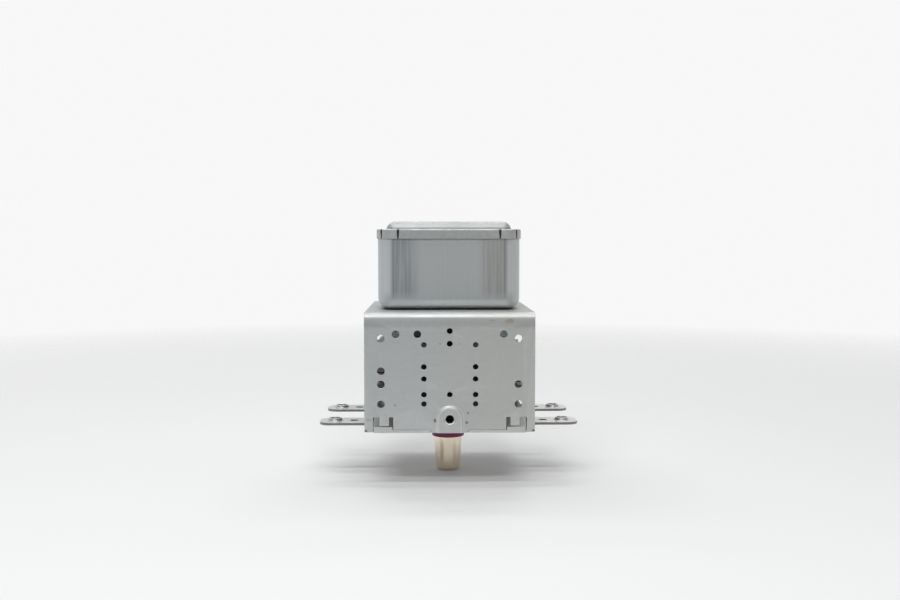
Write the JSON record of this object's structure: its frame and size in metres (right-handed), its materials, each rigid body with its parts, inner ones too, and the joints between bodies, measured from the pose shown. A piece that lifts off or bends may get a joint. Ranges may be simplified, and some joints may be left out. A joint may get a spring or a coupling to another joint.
{
  "type": "magnetron",
  "caption": "Microwave-oven magnetron: folded steel yoke with ring magnets and cooling fins, mounting ears, capped antenna below and a lidded filter box on top.",
  "frame": {"origin": "on the antenna's axis, at the underside of the mounting plate, where it seats on the waveguide", "axes": "+Z from the antenna up to the filter box; -Y is the closed leg of the yoke that the picture shows; +Y is the connector's side; cooling air passes along X"},
  "size_m": [0.13, 0.1005, 0.1299],
  "materials": {
    "yoke_zinc": "zinc plated, faint rolling streaks",
    "plate_zinc": "zinc plated, bright",
    "box_zinc": "zinc plated, vertical draw marks",
    "mesh": "knitted wire mesh",
    "bright_steel": "bright",
    "purple_alumina": "fired ceramic, satin",
    "white_alumina": "fired ceramic, matt",
    "copper": "plain copper",
    "nickel": "warm nickel, drawn",
    "soft_iron": "plain",
    "refractory": "grey, fired",
    "ferrite": "ground ceramic",
    "aluminium": "plain rolled sheet",
    "potting_resin": "cast epoxy",
    "cream_polyester": "moulded polyester"
  },
  "bodies": {
    "root": {"yoke": "yoke_zinc", "mounting_plate": "plate_zinc", "filter_box": "box_zinc", "filter_lid": "box_zinc", "mesh_gasket": "mesh", "gasket_sleeve": "bright_steel", "exhaust_fitting": "bright_steel", "output_seal_cup": "bright_steel", "stem_seal_cup": "bright_steel", "centre_terminal": "bright_steel", "side_terminal": "bright_steel", "capacitor_plate": "bright_steel", "terminal_blade_left": "bright_steel", "terminal_blade_right": "bright_steel", "output_insulator": "purple_alumina", "stem_insulator": "white_alumina", "exhaust_tube": "copper", "antenna_lead": "copper", "anode_cylinder": "copper", "anode_vane_01": "copper", "anode_vane_02": "copper", "anode_vane_03": "copper", "anode_vane_04": "copper", "anode_vane_05": "copper", "anode_vane_06": "copper", "anode_vane_07": "copper", "anode_vane_08": "copper", "anode_vane_09": "copper", "anode_vane_10": "copper", "strap_lower_inner": "copper", "strap_lower_outer": "copper", "strap_upper_inner": "copper", "strap_upper_outer": "copper", "choke_coil_left": "copper", "choke_coil_right": "copper", "antenna_cap": "nickel", "lower_pole_piece": "soft_iron", "upper_pole_piece": "soft_iron", "filament": "refractory", "lower_end_hat": "refractory", "upper_end_hat": "refractory", "centre_lead": "refractory", "side_lead": "refractory", "lower_magnet": "ferrite", "upper_magnet": "ferrite", "choke_core_left": "ferrite", "choke_core_right": "ferrite", "cooling_fin_1": "aluminium", "cooling_fin_2": "aluminium", "cooling_fin_3": "aluminium", "cooling_fin_4": "aluminium", "cooling_fin_5": "aluminium", "capacitor_rivet_1": "aluminium", "capacitor_rivet_2": "aluminium", "capacitor_rivet_3": "aluminium", "capacitor_rivet_4": "aluminium", "box_rivet_1": "aluminium", "box_rivet_2": "aluminium", "capacitor_body": "potting_resin", "connector_shroud": "cream_polyester"}
  },
  "joints": []
}
